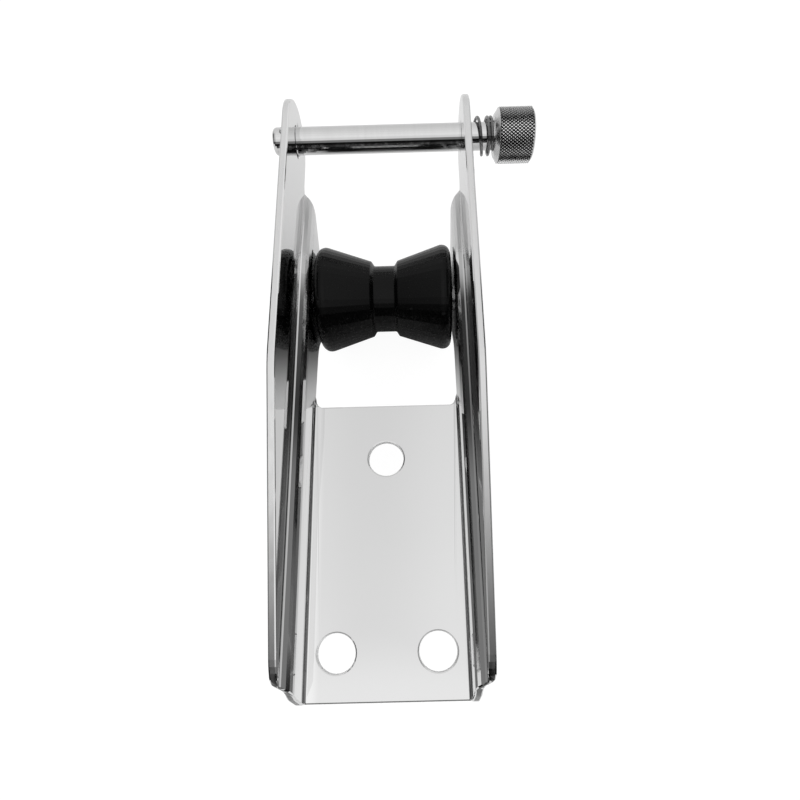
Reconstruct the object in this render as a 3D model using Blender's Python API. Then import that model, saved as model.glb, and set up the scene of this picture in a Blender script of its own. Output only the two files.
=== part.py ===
"""Bow roller with a spring-loaded lock pin, built at real size in metres.

X runs across the roller, Y points forward over the bow and Z points up. The origin is the
middle of the base plate's underside, the face that is screwed to the deck. The bracket is
made as the real one is: a flat blank with its holes, folded into plate and cheeks.
"""

import math

import bmesh
import bpy
from mathutils import Vector
from mathutils.geometry import delaunay_2d_cdt, intersect_point_line

MM = 0.001

# Sheet and base plate. A station is a distance forward from the plate's rear edge.
sheet = 2.2 * MM
edge_round = 0.45 * MM
bend_radius = 0.8 * MM
plate_length = 85.0 * MM
cheek_gap = 45.2 * MM
front_corner_round = 1.5 * MM
bend_run_out = 4.5 * MM
screw_hole_diameter = 10.6 * MM
rear_hole_station = 12.7 * MM
rear_hole_spacing = 28.2 * MM
front_hole_inset = 17.2 * MM

# Cheek outline. Heights are above the plate's underside, and an overhang is a distance
# forward from the plate's front edge.
rear_corner_station = 5.0 * MM
rear_corner_height = 18.9 * MM
rear_corner_round = 15.0 * MM
rim_bend_overhang = 1.0 * MM
rim_bend_round = 30.0 * MM
ear_radius = 11.4 * MM
throat_overhang = 73.0 * MM
throat_round = 2.5 * MM
lobe_overhang = 66.5 * MM
lobe_shoulder_height = 10.8 * MM
lobe_shoulder_round = 7.0 * MM
lobe_depth = 10.2 * MM
lobe_toe_reach = 5.6 * MM
lobe_heel_reach = 9.0 * MM
lobe_bottom_round = 12.0 * MM
underside_run = 22.5 * MM
underside_drop = 2.4 * MM
underside_round = 12.0 * MM

# Joggle: the step that sets the upper part of each cheek outboard of the lower part.
joggle_offset = 3.1 * MM
joggle_upper_radius = 0.35 * MM
joggle_lower_radius = 2.1 * MM
joggle_slope = 65
joggle_rear_height = 16.35 * MM
joggle_front_height = 14.85 * MM
joggle_front_run = 22.0 * MM
joggle_front_round = 120.0 * MM
joggle_end_height = 11.85 * MM

# Roller and its axle.
axle_overhang = 39.9 * MM
axle_height = -1.2 * MM
axle_diameter = 6.0 * MM
axle_clearance = 0.3 * MM
seat_gap = 0.3 * MM
sleeve_wall = 0.7 * MM
roller_side_gap = 0.75 * MM
roller_diameter = 34.4 * MM
roller_waist_diameter = 25.0 * MM
roller_groove_diameter = 21.8 * MM
roller_groove_width = 6.8 * MM
roller_groove_slope = 1.0 * MM
roller_rim_width = 3.2 * MM
roller_corner_round = 2.6 * MM
roller_groove_round = 0.5 * MM
bolt_head_wall = 2.0 * MM
bolt_head_height = 4.0 * MM
nut_height = 4.8 * MM
nut_collar_height = 1.5 * MM
nut_collar_lip = 0.6 * MM
nut_washer_thickness = 1.6 * MM
nut_washer_width = 2.7 * MM
bolt_end_past_nut = 1.5 * MM
bolt_end_chamfer = 0.7 * MM
hex_chamfer = 0.7 * MM

# Lock pin, knob and spring.
pin_overhang = 80.9 * MM
pin_height = 25.9 * MM
pin_diameter = 8.0 * MM
pin_clearance = 0.3 * MM
pin_nose_length = 5.1 * MM
pin_nose_round = 1.2 * MM
cross_pin_diameter = 2.2 * MM
cross_pin_length = 10.0 * MM
cross_pin_end_round = 0.4 * MM
keyway_clearance = 0.4 * MM
knob_diameter = 16.0 * MM
knob_length = 12.1 * MM
knob_collar_length = 2.1 * MM
knob_collar_diameter = 12.8 * MM
knob_end_chamfer = 0.6 * MM
knob_wall = 4.0 * MM
spring_length = 8.2 * MM
spring_wire = 0.95 * MM
spring_diameter = 11.4 * MM
spring_open_turns = 1.5
spring_knob_turns = 1.5
spring_closed_gap = 0.12 * MM

# Facets in a full turn, and how far a facet may cut inside its arc.
hole_facets = 32
round_facets = 40
roller_facets = 48
small_facets = 24
wire_facets = 8
spring_facets = 24
facet_sag = 0.03 * MM

# Stations and lengths worked out from the driving dimensions.
front_hole_station = plate_length - front_hole_inset
rim_bend_station = plate_length + rim_bend_overhang
axle_station = plate_length + axle_overhang
lobe_front_station = plate_length + lobe_overhang
throat_station = plate_length + throat_overhang
bolt_head_flats = axle_diameter + 2 * bolt_head_wall
pin_station = plate_length + pin_overhang
mid_radius = bend_radius + sheet / 2
plate_flat = cheek_gap / 2 - bend_radius
wall_start = plate_flat + mid_radius * math.pi / 2
wall_foot = mid_radius + sheet / 2
lower_outside = cheek_gap / 2 + sheet
upper_outside = lower_outside + joggle_offset
rim_height = pin_height + ear_radius
underside_station = plate_length + underside_run
joggle_upper_mid = joggle_upper_radius + sheet / 2
joggle_lower_mid = joggle_lower_radius + sheet / 2
joggle_lean = math.radians(joggle_slope)
joggle_arcs = (joggle_upper_mid + joggle_lower_mid) * math.sin(joggle_lean)
joggle_arcs_offset = (joggle_upper_mid + joggle_lower_mid) * (1 - math.cos(joggle_lean))
joggle_width = joggle_arcs + (joggle_offset - joggle_arcs_offset) / math.tan(joggle_lean)


def forward(station):
    """World Y of a distance forward from the plate's rear edge."""
    return station - plate_length / 2


def arc_points(centre, radius, start, end):
    """Points on an arc, both ends included, as close as facet_sag asks."""
    widest = 2 * math.acos(1 - min(0.1, facet_sag / radius))
    count = max(2, math.ceil(abs(end - start) / widest))
    turns = [start + (end - start) * i / count for i in range(count + 1)]
    return [centre + radius * Vector((math.cos(turn), math.sin(turn))) for turn in turns]


def half_angle(before, corner, after):
    """Half the angle between a corner's two sides."""
    return (before - corner).angle(after - corner) / 2


def rounded_corner(before, corner, after, reach):
    """The arc that rounds one corner, from and to a distance along its sides."""
    back = (before - corner).normalized()
    ahead = (after - corner).normalized()
    half = half_angle(before, corner, after)
    radius = reach * math.tan(half)
    centre = corner + (back + ahead).normalized() * radius / math.sin(half)
    start = corner + back * reach - centre
    turn = start.angle_signed(corner + ahead * reach - centre, 0.0)
    begin = math.atan2(start.y, start.x)
    return arc_points(centre, radius, begin, begin - turn)


def corner_reaches(places, radii):
    """How far each corner's arc runs along its sides. Two arcs share a side that is too
    short for both of them."""
    reaches = [0.0]
    for before, corner, after, radius in zip(places, places[1:], places[2:], radii[1:]):
        reaches.append(radius / math.tan(half_angle(before, corner, after)))
    reaches.append(0.0)
    shared = list(reaches)
    for i in range(len(places) - 1):
        asked = reaches[i] + reaches[i + 1]
        room = 0.98 * (places[i + 1] - places[i]).length
        for end in (i, i + 1):
            if asked > room:
                shared[end] = min(shared[end], reaches[end] * room / asked)
    return shared


def rounded_path(corners):
    """Points through (x, y, radius) corners. The first and the last stay where they are."""
    places = [Vector(corner[:2]) for corner in corners]
    reaches = corner_reaches(places, [corner[2] for corner in corners])
    path = [places[0]]
    for before, corner, after, reach in zip(places, places[1:], places[2:], reaches[1:]):
        if reach > 0:
            path += rounded_corner(before, corner, after, reach)
        else:
            path.append(corner)
    path.append(places[-1])
    return path


def circle(centre, radius):
    """Points round a hole, the first not repeated."""
    turns = [math.tau * i / hole_facets for i in range(hole_facets)]
    return [Vector(centre) + radius * Vector((math.cos(turn), math.sin(turn))) for turn in turns]


def keyhole(centre, radius, key_width, key_reach):
    """A round hole with a key slot on its front side and on its rear side."""
    half_turn = math.asin(key_width / 2 / radius)
    points = []
    for quarter, direction in ((0, 1), (math.pi, -1)):
        corner = Vector((key_width / 2, key_reach)) * direction
        points += arc_points(Vector((0, 0)), radius, quarter - math.pi / 2 + half_turn,
                             quarter + math.pi / 2 - half_turn)
        points += [corner, Vector((corner.x - key_width * direction, corner.y))]
    return [Vector(centre) + point for point in points]


def wall_u(height):
    """Blank coordinate across the sheet of a height on a cheek."""
    return wall_start + height - wall_foot


def cheek_outline():
    """Side outline of one cheek, from the plate's rear edge round to its front edge."""
    ear_centre = Vector((wall_u(pin_height), pin_station))
    rim = rounded_path([
        (plate_flat, 0, 0),
        (wall_u(wall_foot), 0, bend_radius),
        (wall_u(rear_corner_height), rear_corner_station, rear_corner_round),
        (wall_u(rim_height), rim_bend_station, rim_bend_round),
        (wall_u(rim_height), pin_station - ear_radius / 8, 0),
    ])
    ear = arc_points(ear_centre, ear_radius, 0, math.pi)
    lobe = rounded_path([
        (wall_u(pin_height - ear_radius), pin_station - ear_radius / 8, 0),
        (wall_u(pin_height - ear_radius), throat_station, throat_round),
        (wall_u(lobe_shoulder_height), lobe_front_station, lobe_shoulder_round),
        (wall_u(-lobe_depth), axle_station + lobe_toe_reach, lobe_bottom_round),
        (wall_u(-lobe_depth), axle_station - lobe_heel_reach, lobe_bottom_round),
        (wall_u(-underside_drop), underside_station, underside_round),
        (wall_u(0), plate_length, front_corner_round),
        (plate_flat / 2, plate_length, 0),
    ])
    return rim + ear + lobe


def blank_outline():
    """The whole flat blank, counter-clockwise as (across, station)."""
    right = cheek_outline()
    left = [Vector((-point.x, point.y)) for point in reversed(right)]
    return without_repeats(right + left)


def without_repeats(points, least=0.02 * MM):
    """The loop without points that lie on their neighbour."""
    kept = []
    for point in points:
        if not kept or (point - kept[-1]).length > least:
            kept.append(point)
    if (kept[0] - kept[-1]).length <= least:
        kept.pop()
    return kept


def blank_holes():
    """The three screw holes, the axle holes, the pin's hole and the keyhole opposite it."""
    screw_radius = screw_hole_diameter / 2
    axle_radius = axle_diameter / 2 + axle_clearance
    pin_radius = pin_diameter / 2 + pin_clearance
    key_width = cross_pin_diameter + 2 * keyway_clearance
    key_reach = cross_pin_length / 2 + keyway_clearance
    axle_u = wall_u(axle_height)
    pin_u = wall_u(pin_height)
    return [
        circle((0, front_hole_station), screw_radius),
        circle((-rear_hole_spacing / 2, rear_hole_station), screw_radius),
        circle((rear_hole_spacing / 2, rear_hole_station), screw_radius),
        circle((axle_u, axle_station), axle_radius),
        circle((-axle_u, axle_station), axle_radius),
        circle((pin_u, pin_station), pin_radius),
        keyhole((-pin_u, pin_station), pin_radius, key_width, key_reach),
    ]


def joggle_path():
    """The middle of the step on one cheek, as (height, station), past both edges."""
    return rounded_path([
        (joggle_rear_height, -plate_length / 4, 0),
        (joggle_front_height, lobe_front_station - joggle_front_run, joggle_front_round),
        (joggle_end_height, pin_station - ear_radius / 2, 0),
    ])


JOGGLE = joggle_path()


def signed_distance(point, path):
    """Distance to a path, above zero on its left: here on the upper side of the step."""
    best = None
    for start, end in zip(path, path[1:]):
        foot, share = intersect_point_line(point, start, end)
        nearest = start.lerp(end, min(1.0, max(0.0, share)))
        away = point - nearest
        if best is None or away.length < abs(best) - 1e-9:
            side = (end - start).cross(away)
            best = math.copysign(away.length, side if abs(side) > 1e-15 else 1)
    return -best


def joggle_shift(height, station):
    """How far the step moves the sheet outboard at a point of a cheek."""
    risen = joggle_width / 2 + signed_distance(Vector((height, station)), JOGGLE)
    risen = min(joggle_width, max(0.0, risen))
    left = joggle_width - risen
    lower_arc = joggle_lower_mid * math.sin(joggle_lean)
    if risen < lower_arc:
        return joggle_lower_mid - math.sqrt(joggle_lower_mid ** 2 - risen ** 2)
    if left < joggle_upper_mid * math.sin(joggle_lean):
        left_offset = joggle_upper_mid - math.sqrt(joggle_upper_mid ** 2 - left ** 2)
        return joggle_offset - left_offset
    lower_offset = joggle_lower_mid * (1 - math.cos(joggle_lean))
    return lower_offset + (risen - lower_arc) * math.tan(joggle_lean)


def fold(across, station):
    """Where a point of the flat blank's middle surface lies on the folded bracket."""
    side = math.copysign(1.0, across)
    reach = abs(across)
    upright_z = wall_foot + reach - wall_start
    upright_x = plate_flat + mid_radius + joggle_shift(upright_z, station)
    if reach >= wall_start:
        return Vector((side * upright_x, forward(station), upright_z))
    turn = max(0.0, reach - plate_flat) / mid_radius
    bent_x = min(reach, plate_flat) + mid_radius * math.sin(turn)
    bent_z = sheet / 2 + mid_radius * (1 - math.cos(turn))
    # Forward of the plate the bend runs out, and the cheek stands upright down to its edge.
    ahead = min(1.0, max(0.0, (station - plate_length) / bend_run_out))
    upright = ahead * ahead * (3 - 2 * ahead)
    x = bent_x + (upright_x - bent_x) * upright
    z = bent_z + (upright_z - bent_z) * upright
    return Vector((side * x, forward(station), z))


def fold_normal(across, station):
    """The folded sheet's unit normal, towards the inside of the channel."""
    step = 0.002 * MM
    along_u = fold(across + step, station) - fold(across - step, station)
    along_v = fold(across, station + step) - fold(across, station - step)
    return along_u.cross(along_v).normalized()


def offset_path(path, distance):
    """An open path moved sideways by a distance, to its left."""
    moved = []
    for i, point in enumerate(path):
        ahead = (path[min(i + 1, len(path) - 1)] - path[max(i - 1, 0)]).normalized()
        moved.append(point + distance * Vector((-ahead.y, ahead.x)))
    return moved


def fold_lines():
    """Lines that the flat mesh has to follow: the bends and the step, on both sides."""
    bend_steps = 5
    lines = []
    for i in range(bend_steps + 1):
        u = plate_flat + (wall_start - plate_flat) * i / bend_steps
        lines.append([Vector((u, -sheet)), Vector((u, plate_length + bend_run_out))])
        station = plate_length + bend_run_out * (i + 1) / (bend_steps + 1)
        lines.append([Vector((plate_flat - sheet, station)), Vector((wall_start, station))])
    for radius, side, steps in ((joggle_lower_mid, 1, 4), (joggle_upper_mid, -1, 2)):
        for i in range(steps + 1):
            aside = joggle_width / 2 - radius * math.sin(joggle_lean * i / steps)
            shifted = offset_path(JOGGLE, side * aside)
            lines.append([Vector((wall_u(point.x), point.y)) for point in shifted])
    mirrored = [[Vector((-point.x, point.y)) for point in line] for line in lines]
    return lines + mirrored


def loop_offset(loop, distance):
    """A closed loop moved to its left by a distance, with mitred corners."""
    moved = []
    for i, point in enumerate(loop):
        before = (point - loop[i - 1]).normalized()
        after = (loop[(i + 1) % len(loop)] - point).normalized()
        left_before = Vector((-before.y, before.x))
        left_after = Vector((-after.y, after.x))
        mitre = (left_before + left_after).normalized()
        moved.append(point + mitre * distance / max(0.4, mitre.dot(left_after)))
    return moved


def inside(point, loop):
    """Whether a point lies inside a closed loop."""
    found = False
    for a, b in zip(loop, loop[1:] + loop[:1]):
        if (a.y > point.y) != (b.y > point.y):
            if point.x < a.x + (point.y - a.y) * (b.x - a.x) / (b.y - a.y):
                found = not found
    return found


def flat_mesh(outline, holes):
    """Triangles of the blank, and the vertex loops round its edge and its holes."""
    points = []
    edges = []
    for loop in [outline] + holes:
        first = len(points)
        points += loop
        edges += [(first + i, first + (i + 1) % len(loop)) for i in range(len(loop))]
    for line in fold_lines():
        first = len(points)
        points += line
        edges += [(first + i, first + i + 1) for i in range(len(line) - 1)]
    # The triangulation works on millimetres, where its own tolerances are small.
    large = [point / MM for point in points]
    made, _, triangles, _, _, _ = delaunay_2d_cdt(large, edges, [], 0, 1e-5, False)
    made = [point * MM for point in made]
    kept = []
    for triangle in triangles:
        middle = sum((made[i] for i in triangle), Vector((0, 0))) / 3
        if inside(middle, outline) and not any(inside(middle, hole) for hole in holes):
            kept.append(tuple(triangle))
    return made, kept


def boundary_loops(triangles):
    """The edges that only one triangle uses, chained into loops that keep the sheet left."""
    following = {}
    used = {(a, b) for t in triangles for a, b in zip(t, t[1:] + t[:1])}
    for a, b in used:
        if (b, a) not in used:
            following[a] = b
    loops = []
    while following:
        start, current = following.popitem()
        loop = [start]
        while current != start:
            loop.append(current)
            current = following.pop(current)
        loops.append(loop)
    return loops


def counter_clockwise(triangle, points):
    """The triangle's corners in counter-clockwise order."""
    a, b, c = (points[i] for i in triangle)
    return triangle if (b - a).cross(c - a) > 0 else triangle[::-1]


def folded_sheet(name):
    """The bracket: the meshed blank folded, given its thickness and its rounded edges."""
    outline = loop_offset(blank_outline(), edge_round)
    holes = [loop_offset(hole, -edge_round) for hole in blank_holes()]
    points, triangles = flat_mesh(outline, holes)
    triangles = [counter_clockwise(triangle, points) for triangle in triangles]
    mesh = bmesh.new()
    half = sheet / 2

    def place(point, lift):
        return mesh.verts.new(fold(*point) + fold_normal(*point) * lift)

    used = sorted({i for triangle in triangles for i in triangle})
    inner = {i: place(points[i], half) for i in used}
    outer = {i: place(points[i], -half) for i in used}
    for a, b, c in triangles:
        mesh.faces.new((inner[a], inner[b], inner[c]))
        mesh.faces.new((outer[c], outer[b], outer[a]))
    for loop in boundary_loops(triangles):
        flat = [points[i] for i in loop]
        rings = [[inner[i] for i in loop]]
        for turn in (45, 0, 0, -45):
            lean = math.radians(turn)
            spread = edge_round * math.cos(lean)
            level = half - edge_round + edge_round * abs(math.sin(lean))
            side = 1 if len(rings) < 3 else -1
            ring = loop_offset(flat, -spread)
            rings.append([place(point, side * level) for point in ring])
        rings.append([outer[i] for i in loop])
        for upper, lower in zip(rings, rings[1:]):
            for i in range(len(loop)):
                j = (i + 1) % len(loop)
                mesh.faces.new((upper[j], upper[i], lower[i], lower[j]))
    bmesh.ops.recalc_face_normals(mesh, faces=mesh.faces)
    return finished(name, mesh)


def finished(name, mesh, smooth_below=35):
    """Turns a bmesh into a shaded object."""
    data = bpy.data.meshes.new(name)
    mesh.to_mesh(data)
    mesh.free()
    data.shade_smooth()
    data.set_sharp_from_angle(angle=math.radians(smooth_below))
    made = bpy.data.objects.new(name, data)
    bpy.context.scene.collection.objects.link(made)
    return made


def turned(name, stations, facets=round_facets, closed=False, flats=None):
    """A piece turned about X from (x, radius) stations. With flats, a station marked hex
    keeps inside a hexagon of that width. A closed profile has a bore."""
    mesh = bmesh.new()
    rings = []
    for x, radius, *marks in stations:
        if radius == 0:
            rings.append([mesh.verts.new((x, 0, 0))])
            continue
        ring = []
        for i in range(facets):
            turn = math.tau * i / facets
            reach = radius
            if "hex" in marks:
                off_flat = (turn + math.pi / 6) % (math.pi / 3) - math.pi / 6
                reach = min(radius, flats / 2 / math.cos(off_flat))
            ring.append(mesh.verts.new((x, reach * math.cos(turn), reach * math.sin(turn))))
        rings.append(ring)
    pairs = list(zip(rings, rings[1:]))
    if closed:
        pairs.append((rings[-1], rings[0]))
    for first, second in pairs:
        for i in range(facets):
            j = (i + 1) % facets
            if len(first) == 1:
                mesh.faces.new((first[0], second[j], second[i]))
            elif len(second) == 1:
                mesh.faces.new((first[i], first[j], second[0]))
            else:
                mesh.faces.new((first[i], first[j], second[j], second[i]))
    bmesh.ops.recalc_face_normals(mesh, faces=mesh.faces)
    return finished(name, mesh)


def ring(name, left, right, bore_radius, radius, facets=round_facets):
    """A plain washer or tube between two X values."""
    profile = [(left, bore_radius), (left, radius), (right, radius), (right, bore_radius)]
    return turned(name, profile, facets, closed=True)


def material(name, colour, metallic, roughness):
    """A plain surface with one colour."""
    made = bpy.data.materials.new(name)
    made.use_nodes = True
    shader = made.node_tree.nodes["Principled BSDF"]
    shader.inputs["Base Color"].default_value = (*colour, 1)
    shader.inputs["Metallic"].default_value = metallic
    shader.inputs["Roughness"].default_value = roughness
    return made


def axis_empty(name, station, height):
    """An empty on an axis that runs along X."""
    made = bpy.data.objects.new(name, None)
    made.empty_display_size = 10 * MM
    made.location = (0, forward(station), height)
    bpy.context.scene.collection.objects.link(made)
    return made


def hold(piece, parent, surface):
    """Puts a piece on its axis and gives it its material."""
    piece.parent = parent
    piece.data.materials.append(surface)
    return piece


def cut(piece, cutter):
    """Takes a hidden cutter's shape out of a piece."""
    cutter.hide_render = True
    cutter.display_type = "WIRE"
    difference = piece.modifiers.new("cut", "BOOLEAN")
    difference.operation = "DIFFERENCE"
    difference.solver = "EXACT"
    difference.object = cutter


def roller_profile():
    """Half an hourglass between its bore and its rim, mirrored about the groove."""
    half_width = cheek_gap / 2 - roller_side_gap
    rim_radius = roller_diameter / 2
    groove_radius = roller_groove_diameter / 2
    bore_radius = axle_diameter / 2 + axle_clearance + sleeve_wall + axle_clearance
    half = rounded_path([
        (half_width, bore_radius, 0),
        (half_width, rim_radius, roller_corner_round),
        (half_width - roller_rim_width, rim_radius, roller_corner_round),
        (roller_groove_width / 2 + roller_groove_slope, roller_waist_diameter / 2,
         roller_groove_round),
        (roller_groove_width / 2, groove_radius, roller_groove_round),
        (0, groove_radius, 0),
    ])
    mirrored = [Vector((-point.x, point.y)) for point in reversed(half[:-1])]
    return [(point.x, point.y) for point in half + mirrored]


def build_roller(axis, rubber, steel):
    """The roller and the sleeve that it turns on."""
    roller = turned("roller", roller_profile(), roller_facets, closed=True)
    hold(roller, axis, rubber)
    inner = axle_diameter / 2 + axle_clearance
    half = cheek_gap / 2 - seat_gap
    sleeve = ring("roller_sleeve", -half, half, inner, inner + sleeve_wall)
    hold(sleeve, axis, steel)


def build_axle(axis, steel, nylon):
    """The hex bolt through both cheeks, and its washer and locking nut on the left."""
    shank = axle_diameter / 2
    corner = bolt_head_flats / 2 / math.cos(math.pi / 6) + hex_chamfer
    face = bolt_head_flats / 2 * 0.95
    seat = lower_outside + seat_gap
    head_end = seat + bolt_head_height
    washer_start = -lower_outside - seat_gap
    washer_end = washer_start - nut_washer_thickness
    nut_start = washer_end - seat_gap
    nut_end = nut_start - nut_height
    collar_end = nut_end - nut_collar_height
    tip = collar_end - bolt_end_past_nut
    bolt = turned("axle_bolt", [
        (head_end, 0),
        (head_end, face),
        (head_end - hex_chamfer, corner, "hex"),
        (seat, corner, "hex"),
        (seat, shank),
        (tip + bolt_end_chamfer, shank),
        (tip, shank - bolt_end_chamfer),
        (tip, 0),
    ], flats=bolt_head_flats)
    hold(bolt, axis, steel)
    bore = shank + axle_clearance
    washer = ring("nut_washer", washer_end, washer_start, bore, bore + nut_washer_width)
    hold(washer, axis, steel)
    collar = bolt_head_flats / 2 - nut_collar_lip / 2
    insert_bore = collar - nut_collar_lip
    nut = turned("axle_nut", [
        (nut_start, bore),
        (nut_start, face),
        (nut_start - hex_chamfer, corner, "hex"),
        (nut_end, corner, "hex"),
        (nut_end, collar),
        (collar_end, collar),
        (collar_end, insert_bore),
        (nut_end, insert_bore),
        (nut_end, bore),
    ], closed=True, flats=bolt_head_flats)
    hold(nut, axis, steel)
    insert = ring("nut_insert", collar_end, nut_end - seat_gap, bore, insert_bore - seat_gap)
    hold(insert, axis, nylon)


def build_pin(axis, steel, knurled):
    """The lock pin, the cross pin through its nose and the knob on its other end."""
    radius = pin_diameter / 2
    nose = -upper_outside - pin_nose_length
    knob_start = upper_outside + spring_length
    knob_end = knob_start + knob_length
    bore_end = knob_end - knob_wall
    profile = rounded_path([
        (nose, 0, 0),
        (nose, radius, pin_nose_round),
        (bore_end - seat_gap, radius, pin_nose_round / 2),
        (bore_end - seat_gap, 0, 0),
    ])
    pin = turned("lock_pin", [(point.x, max(0.0, point.y)) for point in profile])
    hold(pin, axis, steel)
    cross_x = -upper_outside - seat_gap - cross_pin_diameter / 2
    cutter = plain_rod("cross_hole", pin_diameter, cross_pin_diameter / 2 + seat_gap / 2)
    stand_up(cutter, cross_x, axis)
    cut(pin, cutter)
    cross = rod_with_round_ends("cross_pin")
    stand_up(cross, cross_x, axis)
    cross.data.materials.append(steel)
    bore = radius + pin_clearance
    knob_radius = knob_diameter / 2
    knob = turned("knob", [
        (bore_end, 0),
        (bore_end, bore),
        (knob_start, bore),
        (knob_start, knob_collar_diameter / 2),
        (knob_start + knob_collar_length, knob_radius),
        (knob_end - knob_end_chamfer, knob_radius),
        (knob_end, knob_radius - knob_end_chamfer),
        (knob_end, 0),
    ])
    hold(knob, axis, knurled)


def stand_up(piece, x, axis):
    """Parents a piece turned about X to the pin's axis, standing upright."""
    piece.parent = axis
    piece.location = (x, 0, 0)
    piece.rotation_euler = (0, math.pi / 2, 0)


def plain_rod(name, half_length, radius):
    """A solid rod along X, for cutting."""
    profile = [(-half_length, 0), (-half_length, radius), (half_length, radius), (half_length, 0)]
    return turned(name, profile, small_facets)


def rod_with_round_ends(name):
    """The cross pin along X."""
    half = cross_pin_length / 2
    profile = rounded_path([
        (-half, 0, 0),
        (-half, cross_pin_diameter / 2, cross_pin_end_round),
        (half, cross_pin_diameter / 2, cross_pin_end_round),
        (half, 0, 0),
    ])
    return turned(name, [(point.x, max(0.0, point.y)) for point in profile], small_facets)


def spring_x(turns):
    """X of the spring's wire centre after a number of turns from the ear."""
    closed_pitch = spring_wire + spring_closed_gap
    first = upper_outside + seat_gap + spring_wire / 2
    last = upper_outside + spring_length - seat_gap - spring_wire / 2
    open_end = last - closed_pitch * spring_knob_turns
    if turns >= spring_open_turns:
        return open_end + closed_pitch * (turns - spring_open_turns)
    return first + (open_end - first) * turns / spring_open_turns


def build_spring(axis, steel):
    """The compression spring: a round wire swept along its coil."""
    total = spring_open_turns + spring_knob_turns
    count = math.ceil(total * spring_facets)
    coil_radius = (spring_diameter - spring_wire) / 2
    mesh = bmesh.new()
    rings = []
    for i in range(count + 1):
        turns = total * i / count
        angle = math.tau * turns + math.pi
        outward = Vector((0, math.cos(angle), math.sin(angle)))
        centre = outward * coil_radius + Vector((spring_x(turns), 0, 0))
        section = []
        for k in range(wire_facets):
            lean = math.tau * k / wire_facets
            spot = outward * math.cos(lean) + Vector((math.sin(lean), 0, 0))
            section.append(mesh.verts.new(centre + spot * spring_wire / 2))
        rings.append(section)
    for first, second in zip(rings, rings[1:]):
        for k in range(wire_facets):
            m = (k + 1) % wire_facets
            mesh.faces.new((first[k], first[m], second[m], second[k]))
    mesh.faces.new(rings[0])
    mesh.faces.new(rings[-1])
    bmesh.ops.recalc_face_normals(mesh, faces=mesh.faces)
    hold(finished("lock_spring", mesh), axis, steel)


def main():
    for old in list(bpy.data.objects):
        bpy.data.objects.remove(old, do_unlink=True)
    polished = material("polished_stainless", (0.78, 0.78, 0.78), 1.0, 0.12)
    fastener = material("fastener_steel", (0.62, 0.62, 0.62), 1.0, 0.3)
    knurled = material("knurled_steel", (0.5, 0.5, 0.5), 1.0, 0.38)
    spring_steel = material("spring_steel", (0.42, 0.42, 0.42), 1.0, 0.3)
    rubber = material("black_rubber", (0.012, 0.012, 0.012), 0.0, 0.4)
    nylon = material("nylon", (0.75, 0.75, 0.73), 0.0, 0.5)
    bracket = folded_sheet("bracket")
    bracket.data.materials.append(polished)
    axle_axis = axis_empty("axle_axis", axle_station, axle_height)
    pin_axis = axis_empty("pin_axis", pin_station, pin_height)
    build_roller(axle_axis, rubber, fastener)
    build_axle(axle_axis, fastener, nylon)
    build_pin(pin_axis, polished, knurled)
    build_spring(pin_axis, spring_steel)


main()
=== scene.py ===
"""Looks for the bow roller: a mirror-polished folded bracket, a black rubber roller and a
sprung lock pin with a knurled knob, in a plain white studio. Lengths are in metres, in the
frame of the CAD part: X across, Y forward over the bow, Z up."""

import math

import bmesh
import bpy
from mathutils import Matrix, Vector


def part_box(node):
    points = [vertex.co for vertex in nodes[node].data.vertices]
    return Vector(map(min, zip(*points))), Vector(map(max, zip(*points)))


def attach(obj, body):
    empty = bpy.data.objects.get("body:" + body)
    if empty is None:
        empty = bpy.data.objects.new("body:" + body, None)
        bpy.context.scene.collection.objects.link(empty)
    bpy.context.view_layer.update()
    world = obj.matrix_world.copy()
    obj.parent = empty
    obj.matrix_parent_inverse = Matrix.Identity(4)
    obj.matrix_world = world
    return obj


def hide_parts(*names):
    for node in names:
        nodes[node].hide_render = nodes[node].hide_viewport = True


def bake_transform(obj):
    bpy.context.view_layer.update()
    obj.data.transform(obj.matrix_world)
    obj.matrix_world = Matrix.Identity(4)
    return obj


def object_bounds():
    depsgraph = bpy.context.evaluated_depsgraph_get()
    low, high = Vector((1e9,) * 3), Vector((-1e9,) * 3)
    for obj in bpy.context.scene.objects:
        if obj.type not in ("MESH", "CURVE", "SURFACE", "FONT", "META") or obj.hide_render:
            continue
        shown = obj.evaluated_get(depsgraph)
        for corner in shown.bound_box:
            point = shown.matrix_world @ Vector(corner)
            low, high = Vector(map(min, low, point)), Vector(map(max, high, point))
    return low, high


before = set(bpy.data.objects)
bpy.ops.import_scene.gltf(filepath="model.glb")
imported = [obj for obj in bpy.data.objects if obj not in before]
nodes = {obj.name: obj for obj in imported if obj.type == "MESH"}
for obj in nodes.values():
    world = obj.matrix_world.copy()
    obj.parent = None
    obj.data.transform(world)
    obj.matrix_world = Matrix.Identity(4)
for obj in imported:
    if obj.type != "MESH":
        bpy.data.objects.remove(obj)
cad_low, cad_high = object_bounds()
MM = 0.001

# Places on the bracket, and how far a face may lean to count as a rim or the plate.
RIM_LEAN, PLATE_RIM_LEAN, PLATE_FACE_LEAN = 0.36, 0.5, 0.9
ABOVE_PLATE = 4.5 * MM
PLATE_FRONT = 42.6 * MM
PLATE_HALF_WIDTH = 20.5 * MM
STEP_INNER, STEP_OUTER = 22.75 * MM, 25.6 * MM
STEP_FRONT_START, STEP_FRONT_END = 84 * MM, 92 * MM
STERN = -36 * MM
PIN_HOLE_REACH = 6.2 * MM

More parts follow.
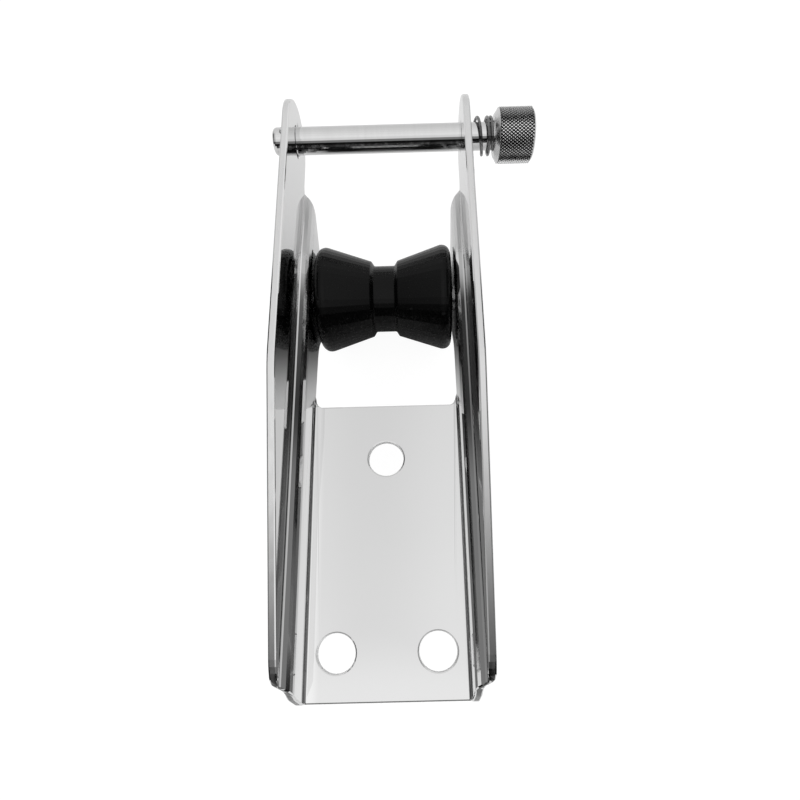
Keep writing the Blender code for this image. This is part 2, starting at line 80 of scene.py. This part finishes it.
# The knob's knurl.
KNURL_TEETH = 52
KNURL_LENGTHENING = 1.2
KNURL_DEPTH = 0.45 * MM
KNURL_START = 1.5 * MM
# Deeper than the first the knurl is painted near black as shade; shallower than the second it is
# painted bright as highlight.
KNURL_SHADED_BELOW, KNURL_BRIGHT_ABOVE = 0.32 * MM, 0.28 * MM
KNOB_COLLAR_RADIUS = 6.4 * MM
KNOB_BORE_RADIUS, KNOB_BORE_DEPTH = 4.3 * MM, 8 * MM
KNOB_END_CHAMFER = 0.6 * MM
KNURL_END = 1.4 * KNOB_END_CHAMFER

# The floor's painted shadow under the roller, seen only in reflections, from the floor's own
# middle.
FLOOR_MIDDLE = 40 * MM
SHADE_START = 8 * MM, 40 * MM
SHADE_END = 58 * MM, 74 * MM
SHADE_SIDE = 21 * MM, 30 * MM


# Node-tree helpers.

class Tree:
    """A short way to write a material's or the world's nodes."""

    def __init__(self, owner):
        owner.use_nodes = True
        self.tree = owner.node_tree
        self.tree.nodes.clear()

    def add(self, kind, **settings):
        """A new node. A setting that names a node's own property is put there."""
        node = self.tree.nodes.new(kind)
        for name, value in settings.items():
            setattr(node, name, value)
        return node

    def feed(self, socket, value):
        """Links an output to a socket, or types a number or colour into it."""
        if isinstance(value, bpy.types.NodeSocket):
            self.tree.links.new(value, socket)
        else:
            socket.default_value = value

    def math(self, operation, *values):
        node = self.add("ShaderNodeMath", operation=operation)
        for socket, value in zip(node.inputs, values):
            self.feed(socket, value)
        return node.outputs[0]

    def ramp(self, value, start, end, low=0.0, high=1.0, smooth=True):
        """Maps start..end of a value to low..high, held at both ends."""
        kind = "SMOOTHSTEP" if smooth else "LINEAR"
        node = self.add("ShaderNodeMapRange", interpolation_type=kind, clamp=True)
        for name, part in (("Value", value), ("From Min", start), ("From Max", end),
                           ("To Min", low), ("To Max", high)):
            self.feed(node.inputs[name], part)
        return node.outputs[0]

    def blend(self, share, first, second):
        """A colour between two colours."""
        node = self.add("ShaderNodeMix", data_type="RGBA")
        self.feed(node.inputs["Factor"], share)
        self.feed(node.inputs["A"], first)
        self.feed(node.inputs["B"], second)
        return node.outputs["Result"]

    def mix(self, share, first, second):
        """A number between two numbers."""
        node = self.add("ShaderNodeMix", data_type="FLOAT")
        self.feed(node.inputs["Factor"], share)
        self.feed(node.inputs["A"], first)
        self.feed(node.inputs["B"], second)
        return node.outputs["Result"]

    def xyz(self, vector):
        """A vector's three parts."""
        node = self.add("ShaderNodeSeparateXYZ")
        self.feed(node.inputs[0], vector)
        return node.outputs[:3]

    def reach(self, y, z, centre):
        """The distance from the line along X through a centre."""
        aside = self.math("SUBTRACT", y, centre.y)
        above = self.math("SUBTRACT", z, centre.z)
        return self.math("SQRT", self.math("ADD", self.math("MULTIPLY", aside, aside),
                                           self.math("MULTIPLY", above, above)))

    def facing(self):
        """The surface's own normal, in the object's directions."""
        turn = self.add("ShaderNodeVectorTransform", vector_type="NORMAL",
                        convert_from="WORLD", convert_to="OBJECT")
        self.feed(turn.inputs[0], self.add("ShaderNodeNewGeometry").outputs["True Normal"])
        return self.xyz(turn.outputs[0])

    def noise(self, place, scale, detail, stretch=(1, 1, 1)):
        """Noise of a size in cycles per metre, stretched along the axes."""
        mapping = self.add("ShaderNodeMapping")
        self.feed(mapping.inputs["Vector"], place)
        mapping.inputs["Scale"].default_value = stretch
        node = self.add("ShaderNodeTexNoise")
        self.feed(node.inputs["Vector"], mapping.outputs[0])
        node.inputs["Scale"].default_value = scale
        node.inputs["Detail"].default_value = detail
        return node.outputs["Fac"]


def grey(level):
    return (level, level, level, 1.0)


def span(name):
    """Lowest corner, highest corner and middle of a CAD node."""
    low, high = (Vector(corner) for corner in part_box(name))
    return low, high, (low + high) / 2


def place_in_scene(name, data):
    """A new object of a mesh, lamp or camera, linked to the scene."""
    made = bpy.data.objects.new(name, data)
    bpy.context.scene.collection.objects.link(made)
    return made


def surface(name, metallic=1.0):
    """A new material with its Principled shader and object-space coordinates."""
    made = bpy.data.materials.new(name)
    tree = Tree(made)
    shader = tree.add("ShaderNodeBsdfPrincipled")
    shader.inputs["Metallic"].default_value = metallic
    output = tree.add("ShaderNodeOutputMaterial")
    tree.feed(output.inputs["Surface"], shader.outputs[0])
    place = tree.add("ShaderNodeTexCoord").outputs["Object"]
    return made, tree, shader, place


def bump(tree, shader, height, distance, strength=1.0):
    """Fine relief of a distance in metres."""
    node = tree.add("ShaderNodeBump")
    tree.feed(node.inputs["Height"], height)
    node.inputs["Distance"].default_value = distance
    node.inputs["Strength"].default_value = strength
    tree.feed(shader.inputs["Normal"], node.outputs[0])


# Materials.

def bracket_steel():
    """Mirror-polished faces, and cut edges with a fine linished grain."""
    made, tree, shader, place = surface("mirror_stainless_sheet")
    x, y, z = tree.xyz(place)
    half = tree.math("ABSOLUTE", x)
    normal_x, _, normal_z = tree.facing()
    steepness = tree.math("ABSOLUTE", normal_z)

    # Cut edges: the cheeks' rims, and the plate's ends and holes.
    off_side = tree.math("LESS_THAN", tree.math("ABSOLUTE", normal_x), RIM_LEAN)
    off_top = tree.math("LESS_THAN", steepness, PLATE_RIM_LEAN)
    above_plate = tree.math("GREATER_THAN", z, ABOVE_PLATE)
    past_plate = tree.math("GREATER_THAN", y, PLATE_FRONT)
    on_cheek = tree.math("MULTIPLY", off_side, tree.math("MAXIMUM", above_plate, past_plate))
    on_plate = tree.math("LESS_THAN", half, PLATE_HALF_WIDTH)
    edge = tree.math("MAXIMUM", on_cheek, tree.math("MULTIPLY", off_top, on_plate))

    # Roughness: the front of the pressed step is less well polished.
    cloud = tree.noise(place, 38, 2.0)
    grain = tree.noise(place, 900, 2.0, stretch=(1, 0.12, 1))
    face_rough = tree.ramp(cloud, 0.3, 0.7, 0.03, 0.07)
    edge_rough = tree.ramp(grain, 0.3, 0.7, 0.26, 0.42)
    inward = tree.math("LESS_THAN", tree.math("MULTIPLY", normal_x, x), 0.0)
    between = tree.math("MULTIPLY", tree.math("GREATER_THAN", half, STEP_INNER),
                        tree.math("LESS_THAN", half, STEP_OUTER))
    on_step = tree.math("MULTIPLY", tree.math("MULTIPLY", inward, between),
                        tree.ramp(y, STEP_FRONT_START, STEP_FRONT_END))
    face_rough = tree.mix(on_step, face_rough, 0.36)
    tree.feed(shader.inputs["Roughness"], tree.mix(edge, face_rough, edge_rough))

    # Faces: painted light, the plate a little paler at its sides, its rear and its left bend.
    off_middle = tree.math("ABSOLUTE", tree.math("SUBTRACT", x, -4 * MM))
    across = tree.ramp(off_middle, 2 * MM, 24 * MM)
    rearward = tree.ramp(y, -40 * MM, -22 * MM, 1.0, 0.0)
    painted_paleness = tree.math("MAXIMUM", rearward, tree.math("MULTIPLY", across, 0.7))
    face_colour = tree.blend(tree.mix(0.2, painted_paleness, cloud), grey(0.70), grey(0.80))
    painted_light_beside_bend = tree.ramp(x, -21 * MM, -18.5 * MM, 1.0, 0.0)
    on_face = tree.math("GREATER_THAN", steepness, PLATE_FACE_LEAN)
    painted_light_beside_bend = tree.math("MULTIPLY", painted_light_beside_bend, on_face)
    face_colour = tree.blend(painted_light_beside_bend, face_colour, grey(0.88))

    # Rims: painted shade, darker towards the stern, and most on the right.
    on_right = tree.math("GREATER_THAN", x, 0.0)
    rim_shade_level = tree.mix(on_right, 0.13, 0.05)
    painted_rim_light = tree.mix(on_right, tree.ramp(y, STERN, 24 * MM), tree.ramp(y, STERN, 46 * MM))
    rim_level = tree.mix(tree.mix(0.2, painted_rim_light, grain), rim_shade_level, 0.84)
    edge_colour = tree.blend(rim_level, grey(0.0), grey(1.0))
    # The plate's cut ends and holes: painted light, paler than the rims.
    edge_colour = tree.blend(on_plate, edge_colour, grey(0.92))
    # The walls of the pin's holes in the ears: painted shade, near black.
    pin_hole_shade_mask = tree.math("LESS_THAN", tree.reach(y, z, span("lock_pin")[2]), PIN_HOLE_REACH)
    edge_colour = tree.blend(pin_hole_shade_mask, edge_colour, grey(0.05))
    tree.feed(shader.inputs["Base Color"], tree.blend(edge, face_colour, edge_colour))

    wave = tree.noise(place, 55, 1.0)
    height = tree.mix(edge, tree.math("MULTIPLY", wave, 0.25), grain)
    bump(tree, shader, height, 0.02 * MM, 0.6)
    return made


def rod_steel():
    """Bright drawn rod with faint marks round it."""
    made, tree, shader, place = surface("bright_rod")
    marks = tree.noise(place, 600, 3.0, stretch=(1, 0.06, 0.06))
    tree.feed(shader.inputs["Roughness"], tree.ramp(marks, 0.3, 0.7, 0.05, 0.11))
    tree.feed(shader.inputs["Base Color"], tree.blend(marks, grey(0.66), grey(0.74)))
    bump(tree, shader, marks, 0.004 * MM)
    return made


def turned_steel(name, low, high, rough_low, rough_high):
    """A machined part: fine turning marks along its axis."""
    made, tree, shader, place = surface(name)
    marks = tree.noise(place, 1800, 2.0, stretch=(1, 0.05, 0.05))
    tree.feed(shader.inputs["Roughness"], tree.ramp(marks, 0.3, 0.7, rough_low, rough_high))
    tree.feed(shader.inputs["Base Color"], tree.blend(marks, grey(low), grey(high)))
    bump(tree, shader, marks, 0.01 * MM)
    return made


def knurled_steel():
    """Crests painted bright as highlight and grooves painted near black as shade, told apart by
    the distance from the axis.
    """
    made, tree, shader, place = surface("knurled_knob_steel")
    low, high, centre = span("knob")
    x, y, z = tree.xyz(place)
    radius = (high.y - low.y) / 2
    crest_highlight_share = tree.ramp(tree.reach(y, z, centre), radius - KNURL_SHADED_BELOW,
                      radius - KNURL_BRIGHT_ABOVE)
    marks = tree.noise(place, 1800, 2.0, stretch=(1, 0.05, 0.05))
    metal = tree.blend(marks, grey(0.62), grey(0.76))
    painted_knurl_light = tree.blend(crest_highlight_share, grey(0.004), grey(1.0))
    past_collar = tree.math("GREATER_THAN", x, low.x + 1.48 * MM)
    inside_end = tree.math("LESS_THAN", x, high.x - 0.5 * MM)
    knurl = tree.math("MULTIPLY", past_collar, inside_end)
    tree.feed(shader.inputs["Base Color"], tree.blend(knurl, metal, painted_knurl_light))
    tree.feed(shader.inputs["Roughness"], tree.ramp(marks, 0.3, 0.7, 0.18, 0.28))
    bump(tree, shader, marks, 0.004 * MM)
    return made


def rubber():
    """Black moulded rubber, smooth with a soft sheen and a little dust."""
    made, tree, shader, place = surface("black_rubber_moulded", metallic=0.0)
    grain = tree.noise(place, 1400, 3.0)
    speck = tree.noise(place, 420, 1.0)
    dust = tree.ramp(speck, 0.74, 0.80)
    tree.feed(shader.inputs["Base Color"], tree.blend(dust, grey(0.0012), grey(0.012)))
    tree.feed(shader.inputs["Roughness"], tree.ramp(grain, 0.3, 0.7, 0.20, 0.30))
    shader.inputs["Specular IOR Level"].default_value = 0.15
    bump(tree, shader, grain, 0.01 * MM, 0.5)
    return made


def nylon():
    """The lock nut's ring."""
    made, tree, shader, place = surface("natural_nylon", metallic=0.0)
    grain = tree.noise(place, 700, 2.0)
    tree.feed(shader.inputs["Base Color"], tree.blend(grain, grey(0.62), grey(0.75)))
    tree.feed(shader.inputs["Roughness"], tree.ramp(grain, 0.3, 0.7, 0.42, 0.58))
    bump(tree, shader, grain, 0.01 * MM, 0.4)
    return made


def finish_nodes(names, material):
    """Gives CAD nodes a better material in their own slots."""
    for name in names:
        for slot in nodes[name].material_slots:
            slot.material = material


finish_nodes(["bracket"], bracket_steel())
finish_nodes(["lock_pin", "cross_pin"], rod_steel())
fastener = turned_steel("fastener_steel_turned", 0.52, 0.62, 0.22, 0.34)
finish_nodes(["axle_bolt", "axle_nut", "nut_washer", "roller_sleeve"], fastener)
knob_steel = knurled_steel()
finish_nodes(["knob"], knob_steel)
spring_steel = turned_steel("spring_wire", 0.18, 0.28, 0.20, 0.32)
finish_nodes(["lock_spring"], spring_steel)
finish_nodes(["roller"], rubber())
finish_nodes(["nut_insert"], nylon())


# Pieces that stand for CAD nodes: the knob with its knurl cut in the mesh, and the spring.

def knurled_knob():
    """The knob with crossed V grooves between its chamfered collar and its end."""
    low, high, centre = span("knob")
    radius = (high.y - low.y) / 2
    root = radius - KNURL_DEPTH
    around = 2 * KNURL_TEETH
    pitch = math.tau * radius / KNURL_TEETH * KNURL_LENGTHENING
    knurl_start = low.x + KNURL_START
    knurl_length = high.x - KNURL_END - knurl_start
    rows = 2 * round(knurl_length / pitch)
    step = knurl_length / rows
    mesh = bmesh.new()

    def ring(x, reach):
        verts = []
        for i in range(around):
            angle = math.tau * i / around
            here = reach(i) if callable(reach) else reach
            verts.append(mesh.verts.new((x, centre.y + here * math.cos(angle),
                                         centre.z + here * math.sin(angle))))
        return verts

    rings = [ring(low.x + KNOB_BORE_DEPTH, KNOB_BORE_RADIUS),
             ring(low.x, KNOB_BORE_RADIUS),
             ring(low.x, KNOB_COLLAR_RADIUS - 0.25 * MM),
             ring(low.x + 0.25 * MM, KNOB_COLLAR_RADIUS),
             ring(knurl_start - 0.35 * MM, radius - 0.12 * MM),
             ring(knurl_start - 0.02 * MM, root)]
    plain = len(rings) - 1
    for j in range(rows + 1):
        rings.append(ring(knurl_start + j * step,
                          lambda i, j=j: radius if (i + j) % 2 else root))
    last = len(rings) - 1
    rings += [ring(high.x - KNOB_END_CHAMFER, root),
              ring(high.x - 0.12 * MM, root - KNOB_END_CHAMFER),
              ring(high.x, root - KNOB_END_CHAMFER - 0.25 * MM)]
    for k, (first, second) in enumerate(zip(rings, rings[1:])):
        for i in range(around):
            n = (i + 1) % around
            if plain < k < last:
                if (i + k - plain - 1) % 2:
                    mesh.faces.new((first[i], first[n], second[i]))
                    mesh.faces.new((first[n], second[n], second[i]))
                else:
                    mesh.faces.new((first[i], first[n], second[n]))
                    mesh.faces.new((first[i], second[n], second[i]))
            else:
                mesh.faces.new((first[i], first[n], second[n], second[i]))
    mesh.faces.new(rings[0])
    mesh.faces.new(rings[-1])
    bmesh.ops.recalc_face_normals(mesh, faces=mesh.faces)
    data = bpy.data.meshes.new("knob_knurled")
    mesh.to_mesh(data)
    mesh.free()
    data.set_sharp_from_angle(angle=math.radians(20))
    data.materials.append(knob_steel)
    knob = place_in_scene("knob_knurled", data)
    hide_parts("knob")
    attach(knob, "lock_pin")


knurled_knob()


def pushed_spring():
    """The CAD spring's own shape, copied in the spring wire's material and fixed where the CAD
    spring rests."""
    cad = nodes["lock_spring"]
    data = cad.data.copy()
    data.name = "spring_coiled"
    data.materials.clear()
    data.materials.append(spring_steel)
    spring = place_in_scene("spring_coiled", data)
    spring.matrix_world = cad.matrix_world.copy()
    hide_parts("lock_spring")
    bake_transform(spring)


pushed_spring()


# Studio: a plain floor under the lowest point, with a painted shadow under the roller that only
# reflections see, a pale world that polished metal sees with a dark room behind the camera and dim
# sides, and one large soft lamp overhead.

def build_floor():
    """Pale paper. Reflections see it with a painted shadow under the roller."""
    half_width = 1.5
    mesh = bmesh.new()
    bmesh.ops.create_grid(mesh, x_segments=4, y_segments=4, size=half_width)
    data = bpy.data.meshes.new("floor")
    mesh.to_mesh(data)
    mesh.free()
    floor = place_in_scene("floor", data)
    floor.location = (0, FLOOR_MIDDLE, cad_low.z - 0.2 * MM)
    paint = bpy.data.materials.new("white_paper")
    tree = Tree(paint)
    path = tree.add("ShaderNodeLightPath")
    mirrored = tree.math("MAXIMUM", path.outputs["Is Glossy Ray"],
                         path.outputs["Is Transmission Ray"])
    place = tree.add("ShaderNodeTexCoord").outputs["Object"]
    x, y = tree.xyz(place)[:2]
    begun = tree.ramp(y, *SHADE_START)
    not_ended = tree.ramp(y, *SHADE_END, 1.0, 0.0)
    inside = tree.ramp(tree.math("ABSOLUTE", x), *SHADE_SIDE, 1.0, 0.0)
    painted_roller_shadow = tree.math("MULTIPLY", tree.math("MULTIPLY", begun, not_ended), inside)
    # Painted shadow: in reflections the floor goes from 0.82 down to 0.06 under the roller.
    pale = tree.mix(painted_roller_shadow, 0.82, 0.06)
    seen = path.outputs["Is Camera Ray"]
    glow = tree.add("ShaderNodeEmission")
    tree.feed(glow.inputs["Strength"], tree.mix(seen, tree.math("MULTIPLY", mirrored, 0.04), 0.93))
    matte = tree.add("ShaderNodeBsdfDiffuse")
    shade = tree.mix(seen, tree.mix(mirrored, 0.8, pale), 0.14)
    tree.feed(matte.inputs["Color"], shade)
    both = tree.add("ShaderNodeAddShader")
    tree.feed(both.inputs[0], glow.outputs[0])
    tree.feed(both.inputs[1], matte.outputs[0])
    output = tree.add("ShaderNodeOutputMaterial")
    tree.feed(output.inputs["Surface"], both.outputs[0])
    data.materials.append(paint)


def build_world():
    """White all round. Polished metal also sees a dark room behind the camera and dim
    sides, which draw its bends and edges."""
    world = bpy.data.worlds.new("studio")
    tree = Tree(world)
    heading = tree.add("ShaderNodeTexCoord").outputs["Generated"]
    x, y, z = tree.xyz(heading)
    path = tree.add("ShaderNodeLightPath")
    behind = tree.math("MULTIPLY", y, -1.0)
    level = tree.math("ARCTAN2", z, behind)
    low_enough = tree.ramp(level, math.radians(24), math.radians(64), 1.0, 0.0)
    facing = tree.ramp(level, math.radians(-8), math.radians(1), 0.0, 1.0)
    room = tree.math("MULTIPLY", low_enough, facing)
    beside = tree.ramp(tree.math("ABSOLUTE", x), 0.36, 0.76)
    side = tree.mix(tree.ramp(y, 0.20, 0.36), 0.22, 0.04)
    side = tree.mix(tree.ramp(y, 0.52, 0.57), side, 0.50)
    ahead = tree.ramp(y, -0.25, 1.0, 1.02, 0.74, smooth=False)
    pale = tree.mix(beside, ahead, side)
    mirrored = tree.mix(room, pale, 0.004)
    studio = tree.mix(path.outputs["Is Glossy Ray"], 0.95, mirrored)
    shown = tree.mix(path.outputs["Is Camera Ray"], studio, 1.0)
    background = tree.add("ShaderNodeBackground")
    background.inputs["Color"].default_value = grey(1.0)
    tree.feed(background.inputs["Strength"], shown)
    output = tree.add("ShaderNodeOutputWorld")
    tree.feed(output.inputs["Surface"], background.outputs[0])
    bpy.context.scene.world = world


def build_lamp():
    light = bpy.data.lights.new("overhead", "AREA")
    light.shape = "RECTANGLE"
    light.size = light.size_y = 1.2
    light.energy = 0.35
    lamp = place_in_scene("overhead", light)
    lamp.location = (-0.2, 0.35, 1.2)
    lamp.rotation_euler = (math.radians(-16), math.radians(-9), 0)
    lamp.visible_glossy = False


def build_camera():
    """The photograph's view, from above and a little behind the plate. The pixels are those
    of an 800 by 800 image."""
    image = 800
    focal_pixels = 533.0991
    centre_x, centre_y = 419.1813, 434.5594
    data = bpy.data.cameras.new("camera")
    data.sensor_width = 36
    data.lens = focal_pixels * data.sensor_width / image
    data.shift_x = (image / 2 - centre_x) / image
    data.shift_y = (centre_y - image / 2) / image
    data.clip_start = 1 * MM
    camera = place_in_scene("camera", data)
    tilt, yaw, roll = 0.2920, 0.0031, 0.0256
    turn = Matrix.Rotation(tilt, 4, "X") @ Matrix.Rotation(yaw, 4, "Y")
    turn = turn @ Matrix.Rotation(-roll, 4, "Z")
    place = Matrix.Translation((10.7821 * MM, -14.7889 * MM, 160.2594 * MM))
    camera.matrix_world = place @ turn
    bpy.context.scene.camera = camera


build_floor()
build_world()
build_lamp()
build_camera()
bpy.context.scene.view_settings.view_transform = "Standard"
